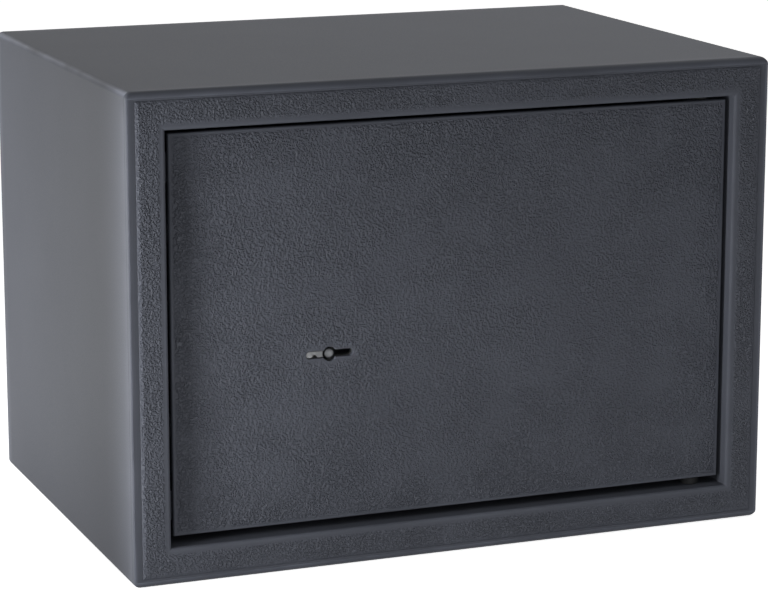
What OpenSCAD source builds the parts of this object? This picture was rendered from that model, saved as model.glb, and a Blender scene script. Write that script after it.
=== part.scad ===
// Small key-operated safe deposit box: a folded steel cabinet with a recessed door,
// hidden pivot hinges on the right and two round bolts worked by a lever lock.
// Origin: centre of the base, on the surface the box stands on. X right, Y back, Z up.
// The front is at -Y. The door stands closed with its bolts drawn back.

/* [Cabinet] */
// Overall width of the cabinet
body_w = 350; // [300:1:450]
// Overall height of the cabinet
body_h = 250; // [225:1:350]
// Overall depth of the cabinet
body_d = 250; // [180:1:400]
// Thickness of the cabinet's folded sheet
sheet_t = 1.5; // [1:0.1:3]
// Outer radius of the folded edges
edge_r = 3.5; // [3.2:0.1:8]
// Flat width of the smooth border between the round edge and the textured face
border_flat = 0.9; // [0.5:0.1:5]
// Width of the face between the outside and the door opening
frame_border = 19.5; // [17:0.5:40]
// How far the lips round the opening run back from the face
lip_depth = 21; // [19:0.5:30]
// Radius of the fold between the face and the lips
lip_bend_r = 1.5; // [1:0.1:3]
// Gap round the rear panel, filled by its weld
weld_gap = 0.1; // [0.05:0.01:0.3]

/* [Anchor holes] */
// Diameter of the anchor holes in the base and the rear panel
anchor_d = 12; // [8:0.5:16]
// Distance between the two holes of each pair
anchor_spacing = 220; // [120:1:260]
// Height of the rear pair above the base
rear_anchor_z = 150; // [60:1:200]

/* [Floor mat] */
// Thickness of the carpet mat
mat_t = 3; // [2:0.5:6]
// Gap between the mat and the round inside corners of the cabinet
mat_gap = 0.5; // [0.3:0.1:5]
// Radius of the mat's corners
mat_corner_r = 6; // [3:1:20]
// Diameter of the holes in the mat over the base anchor holes
mat_hole_d = 32; // [26:1:50]

/* [Door] */
// Thickness of the door plate
door_t = 3; // [2:0.1:5]
// Gap between the door's free edge and the opening
door_gap_left = 3; // [2:0.1:5]
// Gap between the door's hinged edge and the opening
door_gap_right = 2; // [1.8:0.1:4]
// Gap above the door
door_gap_top = 2.3; // [1.5:0.1:5]
// Gap below the door
door_gap_bottom = 4; // [1.5:0.1:6]
// How far the door lies behind the face
door_recess = 6; // [4:0.1:8]
// Radius of the door's front edges
door_edge_r = 1.2; // [0.5:0.1:1.5]
// Distance of the hinge axis behind the back of the door
hinge_behind = 3.5; // [3.2:0.1:5]
// Room left between the door's corner and the opening as it swings
swing_clear = 0.5; // [0.3:0.1:1]
// Diameter of the hinge pins
hinge_pin_d = 5; // [4:0.1:6]
// Radial clearance of a pin or shaft in its hole
running_clear = 0.05; // [0.02:0.01:0.1]
// Diameter of the hinge pins' heads
hinge_head_d = 10; // [8:0.5:14]
// Thickness of the hinge lugs
hinge_lug_t = 3; // [2:0.1:5]
// End gap on each side of a hinge washer
washer_gap = 0.1; // [0.05:0.01:0.3]
// Height of each door stop
stop_h = 15; // [10:1:30]
// How far the door stops reach behind the door's free edge
stop_reach = 2.5; // [2:0.5:4]
// Gap between the door stops and the opening's corners
stop_from_corner = 12; // [2:0.5:60]
// Gap between the closed door and its stops
stop_gap = 0.3; // [0.2:0.1:1]

/* [Keyhole] */
// Distance of the key's axis from the door's left edge
key_from_edge = 84; // [80:0.5:120]
// Distance of the key's axis below the middle of the cabinet
key_below_mid = 14.5; // [0:0.5:20]
// Overall length of the keyhole
keyhole_l = 25.5; // [20:0.5:28]
// Height of the keyhole's two arms
keyhole_h = 3.9; // [3:0.1:5]
// Diameter of the keyhole's round centre
keyhole_hub_d = 7.5; // [7:0.1:9]
// Diameter of the pin that the key's hollow shank slips over
key_pin_d = 5.4; // [4:0.1:6]
// How far the pin and the guide's nose lie behind the door's front
key_parts_behind = 1; // [0.5:0.1:2]

/* [Bolt work] */
// Diameter of the locking bolts
bolt_d = 16; // [12:0.5:20]
// Distance between the two locking bolts
bolt_spacing = 100; // [90:1:110]
// Travel of the locking bolts
bolt_throw = 12; // [8:0.5:14]
// How far the drawn bolts lie inside the door's left edge
bolt_inset = 1; // [0.5:0.1:3]
// Gap between the bolts and the rear edge of the lips
bolt_behind_lip = 0.5; // [0.3:0.1:2]
// Thickness of the upright bar that carries the bolts
bar_t = 4; // [3:0.5:6]
// Thickness of the bolt guide's sheet
guide_t = 2; // [1.5:0.1:3]
// How far the bolt guide runs past each bolt's axis
guide_past_bolt = 24; // [20:1:30]
// Radial clearance of the bolts in the guide
bolt_clear = 0.08; // [0.05:0.01:0.1]

/* [Lock] */
// Thickness of the lock's case and cover
case_t = 1.5; // [1:0.1:2.5]
// Height of the lock's case
case_h = 56; // [54:1:70]
// Thickness of the tongue that links the lock to the bar
tongue_t = 3; // [2:0.1:4]
// Height of the tongue
tongue_h = 12; // [10:0.5:14]
// Number of levers
lever_count = 6; // [1:1:6]
// Thickness of each lever
lever_t = 1.5; // [1:0.1:1.5]
// Gap between neighbouring levers
lever_gap = 0.3; // [0.2:0.05:0.5]
// Angle to which a lever can be lifted
lever_lift = 5; // [3:0.5:6]
// Diameter of the stump that passes the levers' gates
stump_d = 4; // [3:0.1:5]
// Diameter of the post that the levers turn on
lever_post_d = 5; // [4:0.1:6]
// Radius that the key's bit needs round its axis
key_sweep_r = 10; // [8:0.5:11]

/* [Rear cover] */
// Thickness of the cover's sheet
cover_t = 1; // [0.8:0.1:2]
// Width of the cover's flanges
cover_flange = 10; // [9:0.5:14]
// Diameter of the studs welded to the door
stud_d = 5; // [4:0.5:6]

/* [Hidden] */
$fn = 64;

// Cuts run this far past the faces that they open
cut = 1;
// Gap between pieces that lie side by side without a fit
near = 0.3;

// Colours
paint = [0.345, 0.353, 0.369];
dark_paint = [0.2, 0.2, 0.21];
carpet = [0.16, 0.16, 0.17];
zinc = [0.72, 0.73, 0.74];
steel = [0.6, 0.61, 0.62];
brass = [0.78, 0.62, 0.3];
blackened = [0.12, 0.12, 0.12];

// Cabinet
front_y = -body_d / 2;
mid_z = body_h / 2;
inner_r = max(edge_r - sheet_t, 0.5);
pan_d = edge_r + 0.5;
seam_y = front_y + pan_d;
face_inset = edge_r + border_flat;
open_w = body_w - 2 * frame_border;
open_h = body_h - 2 * frame_border;
open_top_z = mid_z + open_h / 2;
open_bottom_z = mid_z - open_h / 2;
lip_end_y = front_y + lip_depth;

// Door
door_w = open_w - door_gap_left - door_gap_right;
door_h = open_h - door_gap_top - door_gap_bottom;
door_left_x = -open_w / 2 + door_gap_left;
door_mid_x = door_left_x + door_w / 2;
door_mid_z = open_bottom_z + door_gap_bottom + door_h / 2;
door_front_y = front_y + door_recess;
door_back_y = door_front_y + door_t;

// The hinge axis lies where the door's outer front corner just clears the opening
hinge_depth = door_t + hinge_behind;
hinge_inset = (pow(door_gap_right, 2) + pow(hinge_depth, 2) - pow(swing_clear, 2))
    / (2 * (door_gap_right - swing_clear));
hinge_x = open_w / 2 - hinge_inset;
hinge_y = door_back_y + hinge_behind;
hinge_bore_d = hinge_pin_d + 2 * running_clear;
hinge_head_t = 2;
lug_r = hinge_pin_d / 2 + 3;
lug_reach = 9;

// Key and lock places, counted from the key's axis
key_x = door_left_x + key_from_edge;
key_z = mid_z - key_below_mid;
case_past_key = 25;
case_right_x = key_x + case_past_key;
lever_post_inset = 10;
lever_post_x = case_right_x - lever_post_inset;
lever_above_key = 15;
lever_z = key_z + lever_above_key;
stump_from_key = 12;
stump_x = key_x - stump_from_key;
stump_play = 0.5;
gate_play = 0.15;
lever_left_x = stump_x - bolt_throw - stump_d / 2 - 3;
case_left_room = 10;
case_left_x = lever_left_x - case_left_room;
case_bottom_z = key_z - case_h / 2;
case_top_z = key_z + case_h / 2;
tongue_above_key = 14;
tongue_z = key_z + tongue_above_key;
tongue_front_y = door_back_y + case_t + near;
lever_front_y = tongue_front_y + tongue_t + 0.4;
lever_pitch = lever_t + lever_gap;
lever_back_y = lever_front_y + lever_count * lever_pitch;
case_back_y = lever_back_y + 0.5;
lever_top_z = lever_z + lever_post_d / 2 + 3;
lever_bottom_z = key_z + 6.5;
pillar_r = 3;
pillar_inset = case_t + pillar_r + 0.2;
cover_screw_d = 3;
cover_screw_l = 8;
cover_screw_head_d = 5.6;
cover_screw_head_t = 2;
key_pin_tail_d = 4;
spring_l = 26;
ear_h = 10;
ear_w = 14;
ear_inset = 10;

// Bolt work
bolt_y = lip_end_y + bolt_behind_lip + bolt_d / 2;
bolt_zs = [mid_z - bolt_spacing / 2, mid_z + bolt_spacing / 2];
bar_screw_d = 6;
bar_screw_head_d = 10;
bar_screw_head_t = 3.5;
bar_screw_depth = 14;
bar_right_x = case_left_x - bar_screw_head_t - 0.5;
bar_left_x = bar_right_x - bar_t;
bar_back_y = bolt_y + bolt_d / 2 + 1;
bar_front_y = door_back_y + case_t;
bar_past_bolt = 14;
bolt_tip_x = door_left_x + bolt_inset;
bolt_chamfer = 1.5;
bolt_stand_out = 4.5;
guide_left_x = bolt_tip_x + bolt_stand_out;
guide_right_x = bar_left_x - bolt_throw - 1;
guide_past_bar = 3.2;
guide_back_y = bar_back_y + guide_past_bar;
guide_h = bolt_spacing + 2 * guide_past_bolt;
guide_bore_d = bolt_d + 2 * bolt_clear;
tenon_h = tongue_h - 4;
pin_d = 3;
tenon_past_bar = pin_d + 2;

// Rear cover
cover_left_x = guide_left_x;
cover_past_case = 10;
cover_right_x = case_right_x + cover_past_case;
cover_h = guide_h + 2 * cover_t + 2;
cover_back_y = guide_back_y + near + cover_t;
nut_af = 8 * stud_d / 5;
nut_t = 0.8 * stud_d;
stud_hole_d = stud_d + 0.4;
lock_studs = [for (x = [case_left_x + ear_inset, case_right_x - ear_inset],
    z = [case_bottom_z - ear_h / 2, case_top_z + ear_h / 2]) [x, z]];
cover_studs = concat(
    [for (x = [case_left_x, case_right_x], s = [-1, 1])
        [x, mid_z + s * (cover_h / 2 + cover_flange / 2)]],
    [for (s = [-1, 1]) [cover_right_x + cover_flange / 2, mid_z + s * 40]]);
side_flange_h = 100;

// ---- Shapes that repeat ----

// A plate upright across the box, from y0 back by t: its outline is drawn in X and Z
module front_plate(y0, t) {
    translate([0, y0 + t, 0])
        rotate([90, 0, 0])
            linear_extrude(t) children();
}

// A cylinder from front to back
module rod_y(x, z, y0, y1, d) {
    translate([x, y1, z])
        rotate([90, 0, 0])
            cylinder(d = d, h = y1 - y0);
}

// A cylinder from left to right
module rod_x(y, z, x0, x1, d) {
    translate([x0, y, z])
        rotate([0, 90, 0])
            cylinder(d = d, h = x1 - x0);
}

module box(low, high) {
    translate(low) cube(high - low);
}

// A rectangle with round corners, on its centre
module rounded_outline(w, h, r) {
    square([w - 2 * r, h], center = true);
    square([w, h - 2 * r], center = true);
    for (sx = [-1, 1], sy = [-1, 1])
        translate([sx * (w / 2 - r), sy * (h / 2 - r)]) circle(r);
}

// A plate's section: w wide, from 0 back to d, its two front corners round
module front_profile(w, d, r) {
    translate([-w / 2, r]) square([w, d - r]);
    translate([r - w / 2, 0]) square([w - 2 * r, d]);
    for (s = [-1, 1])
        translate([s * (w / 2 - r), r]) circle(r);
}

// An opening's section: w wide and flared at the front by the fold's radius
module flared_profile(w, d, r) {
    translate([-w / 2, -cut]) square([w, d + 2 * cut]);
    difference() {
        translate([-w / 2 - r, -cut]) square([w + 2 * r, r + cut]);
        for (s = [-1, 1])
            translate([s * (w / 2 + r), r]) circle(r);
    }
}

// The same section swept up and down and from side to side, kept where both agree
module swept_both_ways(w, h) {
    intersection() {
        translate([0, 0, -h / 2]) linear_extrude(h) children(0);
        rotate([0, 90, 0])
            translate([0, 0, -w / 2]) linear_extrude(w) children(1);
    }
}

// The outline of a keyhole on the key's axis: a round centre with one or two arms
module keyhole_outline(arm_left, arm_right, h, hub_d) {
    circle(d = hub_d);
    for (reach = [-arm_left, arm_right])
        if (reach != 0) {
            end_x = reach - sign(reach) * h / 2;
            translate([end_x, 0]) circle(d = h);
            translate([min(end_x, 0), -h / 2]) square([abs(end_x), h]);
        }
}

// A hexagon nut with its bore along Y, from y0 back
module nut(x, z, y0) {
    difference() {
        translate([x, y0 + nut_t, z])
            rotate([90, 0, 0])
                cylinder(d = nut_af / cos(30), h = nut_t, $fn = 6);
        rod_y(x, z, y0 - cut, y0 + nut_t + cut, stud_d + 0.1);
    }
}

// ---- Cabinet ----

module body_wrap() {
    color(paint)
        difference() {
            translate([0, 0, mid_z])
                front_plate(seam_y, body_d / 2 - seam_y)
                    rounded_outline(body_w, body_h, edge_r);
            translate([0, 0, mid_z])
                front_plate(seam_y - cut, body_d + 2 * cut)
                    rounded_outline(body_w - 2 * sheet_t, body_h - 2 * sheet_t, inner_r);
            for (s = [-1, 1])
                translate([s * anchor_spacing / 2, 0, -cut])
                    cylinder(d = anchor_d, h = sheet_t + 2 * cut);
        }
}

// The smooth border of the front: bent back to meet the body, and welded to it
module front_edge() {
    color(paint)
        translate([0, front_y, mid_z])
            difference() {
                pan_shape(body_w, body_h, pan_d, edge_r);
                translate([0, sheet_t, 0])
                    pan_shape(body_w - 2 * sheet_t, body_h - 2 * sheet_t, pan_d, inner_r);
                front_plate(-cut, sheet_t + 2 * cut) face_outline();
            }
}

// The flat textured face inside the border, with the opening
module front_frame() {
    color(paint)
        translate([0, front_y, mid_z])
            difference() {
                front_plate(0, sheet_t) face_outline();
                opening_cutter();
            }
}

module face_outline() {
    square([body_w - 2 * face_inset, body_h - 2 * face_inset], center = true);
}

// A solid with round front edges and round corners
module pan_shape(w, h, d, r) {
    intersection() {
        swept_both_ways(w, h) {
            front_profile(w, d, r);
            front_profile(h, d, r);
        }
        front_plate(0, d) rounded_outline(w, h, r);
    }
}

// The four lips behind the face, welded to it and at their corners, bored for the pins
module opening_lips() {
    color(paint)
        difference() {
            translate([0, front_y, mid_z])
                difference() {
                    front_plate(sheet_t, lip_depth - sheet_t)
                        square([open_w + 2 * sheet_t, open_h + 2 * sheet_t], center = true);
                    opening_cutter();
                }
            translate([hinge_x, hinge_y, 0])
                cylinder(d = hinge_bore_d, h = body_h);
        }
}

// The opening, flared at the face where the frame is rounded into the lips
module opening_cutter() {
    flare = 2 * (lip_bend_r + cut);
    swept_both_ways(open_w + flare, open_h + flare) {
        flared_profile(open_w, lip_depth, lip_bend_r);
        flared_profile(open_h, lip_depth, lip_bend_r);
    }
}

module rear_panel() {
    inset = 2 * (sheet_t + weld_gap);
    color(paint)
        difference() {
            translate([0, 0, mid_z])
                front_plate(body_d / 2 - sheet_t, sheet_t)
                    rounded_outline(body_w - inset, body_h - inset, inner_r);
            for (s = [-1, 1])
                rod_y(s * anchor_spacing / 2, rear_anchor_z,
                    body_d / 2 - sheet_t - cut, body_d / 2 + cut, anchor_d);
        }
}

module floor_mat() {
    mat_w = body_w - 2 * (sheet_t + inner_r + mat_gap);
    mat_d = body_d - 2 * (sheet_t + inner_r + mat_gap);
    color(carpet)
        translate([0, 0, sheet_t])
            linear_extrude(mat_t)
                difference() {
                    rounded_outline(mat_w, mat_d, mat_corner_r);
                    for (s = [-1, 1])
                        translate([s * anchor_spacing / 2, 0]) circle(d = mat_hole_d);
                }
}

// Two tabs welded to the left lip, which the closed door rests against
module door_stops() {
    stop_y = door_back_y + stop_gap;
    stop_t = 3;
    stop_from_mid = open_h / 2 - stop_from_corner - stop_h / 2;
    color(paint)
        for (s = [-1, 1])
            translate([0, 0, mid_z + s * stop_from_mid])
                box([-open_w / 2, stop_y, -stop_h / 2],
                    [door_left_x + stop_reach, stop_y + stop_t, stop_h / 2]);
}

// Stands a piece on the hinge axis at the upper lip, or turned over at the lower lip
module at_lip(end) {
    if (end > 0) translate([hinge_x, hinge_y, open_top_z]) children();
    else translate([hinge_x, hinge_y, open_bottom_z]) mirror([0, 0, 1]) children();
}

function door_gap_at(end) = end > 0 ? door_gap_top : door_gap_bottom;

// Headed pins, pushed through the lips from the hidden side
module hinge_pins() {
    color(blackened)
        for (end = [1, -1]) {
            pin_reach = door_gap_at(end) + hinge_lug_t + 0.2;
            at_lip(end) {
                translate([0, 0, -pin_reach])
                    cylinder(d = hinge_pin_d, h = pin_reach + sheet_t);
                translate([0, 0, sheet_t]) cylinder(d = hinge_head_d, h = hinge_head_t);
            }
        }
}

module hinge_washers() {
    color(blackened)
        for (end = [1, -1]) {
            washer_t = door_gap_at(end) - 2 * washer_gap;
            at_lip(end)
                translate([0, 0, -washer_gap - washer_t])
                    difference() {
                        cylinder(d = hinge_head_d, h = washer_t);
                        translate([0, 0, -cut])
                            cylinder(d = hinge_bore_d, h = washer_t + 2 * cut);
                    }
        }
}

// ---- Door ----

module door_plate() {
    color(paint)
        difference() {
            translate([door_mid_x, door_front_y, door_mid_z])
                swept_both_ways(door_w, door_h) {
                    front_profile(door_w, door_t, door_edge_r);
                    front_profile(door_h, door_t, door_edge_r);
                }
            translate([key_x, 0, key_z])
                front_plate(door_front_y - cut, door_t + 2 * cut)
                    keyhole_outline(keyhole_l / 2, keyhole_l / 2, keyhole_h, keyhole_hub_d);
        }
}

// Plates welded flat behind the door's top and bottom edges, bored for the pins
module hinge_lugs() {
    color(paint)
        for (end = [1, -1])
            at_lip(end)
                translate([0, 0, -door_gap_at(end) - hinge_lug_t])
                    difference() {
                        union() {
                            box([-lug_reach, -hinge_behind, 0], [lug_r, 0, hinge_lug_t]);
                            cylinder(r = lug_r, h = hinge_lug_t);
                        }
                        box([-2 * lug_reach, -hinge_behind - lug_r, -cut],
                            [2 * lug_reach, -hinge_behind, hinge_lug_t + cut]);
                        translate([0, 0, -cut])
                            cylinder(d = hinge_bore_d, h = hinge_lug_t + 2 * cut);
                    }
}

module weld_studs() {
    color(zinc) {
        for (p = lock_studs)
            rod_y(p[0], p[1], door_back_y, door_back_y + case_t + nut_t + 2, stud_d);
        for (p = cover_studs)
            rod_y(p[0], p[1], door_back_y, door_back_y + cover_t + nut_t + 2, stud_d);
    }
}

// ---- Bolt work ----

// A folded channel, its floor welded to the door and both walls bored for the bolts
module bolt_guide() {
    z0 = mid_z - guide_h / 2;
    z1 = mid_z + guide_h / 2;
    color(zinc)
        difference() {
            union() {
                box([guide_left_x, door_back_y, z0],
                    [guide_right_x, door_back_y + case_t, z1]);
                for (x = [guide_left_x, guide_right_x - guide_t])
                    box([x, door_back_y, z0], [x + guide_t, guide_back_y, z1]);
            }
            for (z = bolt_zs)
                rod_x(bolt_y, z, guide_left_x - cut, guide_right_x + cut, guide_bore_d);
            box([guide_right_x - guide_t - cut, tongue_front_y - 0.1, tongue_z - tongue_h / 2 - 1],
                [guide_right_x + cut, tongue_front_y + tongue_t + 4, tongue_z + tongue_h / 2 + 1]);
        }
}

module locking_bolts() {
    color(steel)
        for (z = bolt_zs)
            difference() {
                union() {
                    rod_x(bolt_y, z, bolt_tip_x + bolt_chamfer, bar_left_x, bolt_d);
                    translate([bolt_tip_x, bolt_y, z])
                        rotate([0, 90, 0])
                            cylinder(d1 = bolt_d - 2 * bolt_chamfer, d2 = bolt_d,
                                h = bolt_chamfer);
                }
                rod_x(bolt_y, z, bar_left_x - bar_screw_depth, bar_left_x + cut,
                    bar_screw_d + 0.1);
            }
}

module bolt_bar() {
    bar_h = bolt_spacing + 2 * bar_past_bolt;
    color(zinc)
        difference() {
            box([bar_left_x, bar_front_y, mid_z - bar_h / 2],
                [bar_right_x, bar_back_y, mid_z + bar_h / 2]);
            for (z = bolt_zs)
                rod_x(bolt_y, z, bar_left_x - cut, bar_right_x + cut, bar_screw_d + 0.4);
            box([bar_left_x - cut, bar_front_y - cut, tongue_z - tenon_h / 2 - 0.15],
                [bar_right_x + cut, tongue_front_y + tongue_t + 0.15,
                    tongue_z + tenon_h / 2 + 0.15]);
        }
}

module bolt_bar_screws() {
    socket_af = 4;
    color(steel)
        for (z = bolt_zs)
            difference() {
                union() {
                    rod_x(bolt_y, z, bar_left_x - bar_screw_depth + 1, bar_right_x, bar_screw_d);
                    rod_x(bolt_y, z, bar_right_x, bar_right_x + bar_screw_head_t,
                        bar_screw_head_d);
                }
                translate([bar_right_x + bar_screw_head_t / 2, bolt_y, z])
                    rotate([0, 90, 0])
                        cylinder(d = socket_af / cos(30), h = bar_screw_head_t, $fn = 6);
            }
}

// ---- Lock ----

module lock_case() {
    window_h = tongue_h + 0.4;
    color(zinc)
        difference() {
            union() {
                box([case_left_x, door_back_y, case_bottom_z],
                    [case_right_x, case_back_y, case_top_z]);
                for (p = lock_studs)
                    box([p[0] - ear_w / 2, door_back_y, p[1] - ear_h / 2],
                        [p[0] + ear_w / 2, door_back_y + case_t, p[1] + ear_h / 2]);
            }
            case_hollow();
            for (p = lock_studs)
                rod_y(p[0], p[1], door_back_y - cut, door_back_y + case_t + cut, stud_hole_d);
            box([case_left_x - cut, tongue_front_y - 0.2, tongue_z - window_h / 2],
                [case_left_x + case_t + cut, tongue_front_y + tongue_t + 0.2,
                    tongue_z + window_h / 2]);
            translate([key_x, 0, key_z])
                front_plate(door_back_y - cut, case_t + 2 * cut)
                    keyhole_outline(keyhole_l / 2, keyhole_l / 2, keyhole_h, keyhole_hub_d);
        }
}

// The space inside the case, less the four corner pillars that take the cover's screws
module case_hollow() {
    difference() {
        box([case_left_x + case_t, door_back_y + case_t, case_bottom_z + case_t],
            [case_right_x - case_t, case_back_y + cut, case_top_z - case_t]);
        for (p = pillar_places())
            rod_y(p[0], p[1], door_back_y, case_back_y + 2 * cut, 2 * pillar_r);
    }
    for (p = pillar_places())
        rod_y(p[0], p[1], case_back_y - cover_screw_l - 1, case_back_y + 3 * cut,
            cover_screw_d + 0.1);
}

function pillar_places() =
    [for (x = [case_left_x + pillar_inset, case_right_x - pillar_inset],
        z = [case_bottom_z + pillar_inset, case_top_z - pillar_inset]) [x, z]];

module lock_fixing_nuts() {
    color(zinc)
        for (p = lock_studs)
            nut(p[0], p[1], door_back_y + case_t);
}

module lock_cover() {
    color(zinc)
        difference() {
            box([case_left_x, case_back_y, case_bottom_z],
                [case_right_x, case_back_y + case_t, case_top_z]);
            for (p = pillar_places())
                rod_y(p[0], p[1], case_back_y - cut, case_back_y + case_t + cut,
                    cover_screw_d + 0.4);
            rod_y(key_x, key_z, case_back_y - cut, case_back_y + case_t + cut,
                key_pin_tail_d);
        }
}

module lock_cover_screws() {
    head_y = case_back_y + case_t;
    slot_y = head_y + cover_screw_head_t - 0.8;
    color(steel)
        for (p = pillar_places())
            difference() {
                union() {
                    rod_y(p[0], p[1], head_y - cover_screw_l, head_y, cover_screw_d);
                    rod_y(p[0], p[1], head_y, head_y + cover_screw_head_t, cover_screw_head_d);
                }
                box([p[0] - cover_screw_head_d, slot_y, p[1] - 0.4],
                    [p[0] + cover_screw_head_d, slot_y + 2, p[1] + 0.4]);
            }
}

// A plated plate inside the case. Its nose fills the left arm of the door's keyhole,
// so that a key enters by the round centre and the right arm only. The nose has a round
// notch in its lower edge.
module key_guide() {
    nose_y = door_front_y + key_parts_behind;
    nose_gap = 0.4;
    nose_h = keyhole_h - 2 * nose_gap;
    nose_left = nose_gap + nose_h / 2 - keyhole_l / 2;
    notch_d = 2.8;
    flange_t = 1.2;
    flange_y = door_back_y + case_t;
    color(zinc)
        translate([key_x, 0, key_z])
            difference() {
                union() {
                    front_plate(flange_y, flange_t)
                        square([keyhole_l + 4, keyhole_hub_d + 4], center = true);
                    front_plate(nose_y, flange_y - nose_y) {
                        translate([nose_left, 0]) circle(d = nose_h);
                        translate([nose_left, -nose_h / 2]) square([-nose_left, nose_h]);
                    }
                }
                front_plate(nose_y - cut, flange_y - nose_y + flange_t + 2 * cut)
                    keyhole_outline(0, keyhole_l / 2, keyhole_h, keyhole_hub_d);
                rod_y(nose_left + notch_d, -nose_h / 2, nose_y - cut, flange_y + flange_t + cut,
                    notch_d);
            }
}

// The pin that the key turns on, riveted into the lock's cover
module key_pin() {
    tip_y = door_front_y + key_parts_behind;
    tip_h = 0.6;
    color(steel) {
        translate([key_x, tip_y, key_z])
            rotate([-90, 0, 0])
                cylinder(d1 = key_pin_d - 2 * tip_h, d2 = key_pin_d, h = tip_h);
        rod_y(key_x, key_z, tip_y + tip_h, case_back_y, key_pin_d);
        rod_y(key_x, key_z, case_back_y, case_back_y + case_t, key_pin_tail_d);
    }
}

// The flat tongue that the key drives, with the stump that passes the levers' gates
module lock_tongue() {
    tail_x = lever_post_x - lever_post_d / 2 - 1;
    slot_d = stump_d + 0.4;
    slot_right_x = tail_x - 2 - slot_d / 2;
    slot_z = tongue_z + 2;
    talon_x = key_x + bolt_throw / 2;
    talon_w = 8;
    color(steel) {
        difference() {
            union() {
                box([bar_right_x, tongue_front_y, tongue_z - tongue_h / 2],
                    [tail_x, tongue_front_y + tongue_t, tongue_z + tongue_h / 2]);
                box([bar_left_x - tenon_past_bar, tongue_front_y, tongue_z - tenon_h / 2],
                    [bar_right_x, tongue_front_y + tongue_t, tongue_z + tenon_h / 2]);
            }
            front_plate(tongue_front_y - cut, tongue_t + 2 * cut) {
                translate([slot_right_x, slot_z]) circle(d = slot_d);
                translate([slot_right_x - bolt_throw, slot_z]) circle(d = slot_d);
                translate([slot_right_x - bolt_throw, slot_z - slot_d / 2])
                    square([bolt_throw, slot_d]);
                translate([talon_x - talon_w / 2, tongue_z - tongue_h / 2 - cut])
                    square([talon_w, cut + 3.5]);
            }
            rod_y(bar_left_x - pin_d / 2 - 0.1, tongue_z, tongue_front_y - cut,
                tongue_front_y + tongue_t + cut, pin_d);
        }
        rod_y(stump_x, lever_z, tongue_front_y + tongue_t, case_back_y - near, stump_d);
    }
}

module tongue_pin() {
    color(steel)
        rod_y(bar_left_x - pin_d / 2 - 0.1, tongue_z, tongue_front_y,
            tongue_front_y + tongue_t + 2.5, pin_d);
}

// A short rivet in the case's floor that keeps the tongue level
module tongue_guide_post() {
    tail_x = lever_post_x - lever_post_d / 2 - 1;
    slot_d = stump_d + 0.4;
    color(steel)
        rod_y(tail_x - 2 - slot_d / 2 - bolt_throw, tongue_z + 2, door_back_y + case_t,
            tongue_front_y + tongue_t, stump_d);
}

module lever_post() {
    color(steel)
        rod_y(lever_post_x, lever_z, door_back_y + case_t, case_back_y, lever_post_d);
}

// A brass lever: bored for its post, hollowed round the key, with a window for the stump
module lever(number) {
    reach_rest = lever_post_x - stump_x;
    gate_h = stump_d + 2 * gate_play;
    pocket_w = stump_d + 2 * stump_play;
    color(brass)
        if (number <= lever_count)
            front_plate(lever_front_y + (number - 1) * lever_pitch, lever_t)
                difference() {
                    union() {
                        translate([lever_post_x, lever_z]) circle(r = lever_post_d / 2 + 3);
                        translate([lever_left_x, lever_bottom_z])
                            square([lever_post_x - lever_left_x - 1,
                                lever_top_z - lever_bottom_z]);
                    }
                    translate([lever_post_x, lever_z])
                        circle(d = lever_post_d + 2 * running_clear);
                    translate([key_x, key_z]) circle(r = key_sweep_r);
                    translate([stump_x - bolt_throw - pocket_w / 2, lever_z - gate_h / 2])
                        square([bolt_throw + pocket_w, gate_h]);
                    for (travel = [0, bolt_throw]) {
                        drop = (reach_rest + travel) * sin(lever_lift) + near;
                        translate([stump_x - travel - pocket_w / 2,
                            lever_z - gate_h / 2 - drop])
                            square([pocket_w, gate_h + drop]);
                    }
                }
}

module lever_1() { lever(1); }
module lever_2() { lever(2); }
module lever_3() { lever(3); }
module lever_4() { lever(4); }
module lever_5() { lever(5); }
module lever_6() { lever(6); }

// One flat wire spring on each lever, bearing against the top of the case
module lever_springs() {
    foot_x = lever_post_x - 4;
    tip_x = foot_x - spring_l;
    tip_z = case_top_z - case_t - near;
    wire_t = 0.6;
    foot_z = lever_top_z + 0.05;
    color(steel)
        for (k = [0 : lever_count - 1])
            front_plate(lever_front_y + k * lever_pitch + 0.35, lever_t - 0.7)
                polygon([[foot_x, foot_z], [tip_x, tip_z - wire_t], [tip_x, tip_z],
                    [foot_x, foot_z + 2 * wire_t], [foot_x + 2, foot_z + wire_t],
                    [foot_x + 2, foot_z]]);
}

// ---- Rear cover ----

// A folded tray over the lock and the bolt work, open at the left where the guide closes it
module rear_cover() {
    z0 = mid_z - cover_h / 2;
    z1 = mid_z + cover_h / 2;
    flange_left_x = guide_right_x + 4;
    color(dark_paint)
        difference() {
            union() {
                box([cover_left_x, cover_back_y - cover_t, z0],
                    [cover_right_x, cover_back_y, z1]);
                box([cover_left_x, door_back_y, z0], [cover_right_x, cover_back_y, z0 + cover_t]);
                box([cover_left_x, door_back_y, z1 - cover_t], [cover_right_x, cover_back_y, z1]);
                box([cover_right_x - cover_t, door_back_y, z0],
                    [cover_right_x, cover_back_y, z1]);
                box([flange_left_x, door_back_y, z1 - cover_t],
                    [cover_right_x, door_back_y + cover_t, z1 + cover_flange]);
                box([flange_left_x, door_back_y, z0 - cover_flange],
                    [cover_right_x, door_back_y + cover_t, z0 + cover_t]);
                box([cover_right_x - cover_t, door_back_y, mid_z - side_flange_h / 2],
                    [cover_right_x + cover_flange, door_back_y + cover_t,
                        mid_z + side_flange_h / 2]);
            }
            for (p = cover_studs)
                rod_y(p[0], p[1], door_back_y - cut, door_back_y + cover_t + cut, stud_hole_d);
        }
}

module rear_cover_nuts() {
    color(zinc)
        for (p = cover_studs)
            nut(p[0], p[1], door_back_y + cover_t);
}

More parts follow.
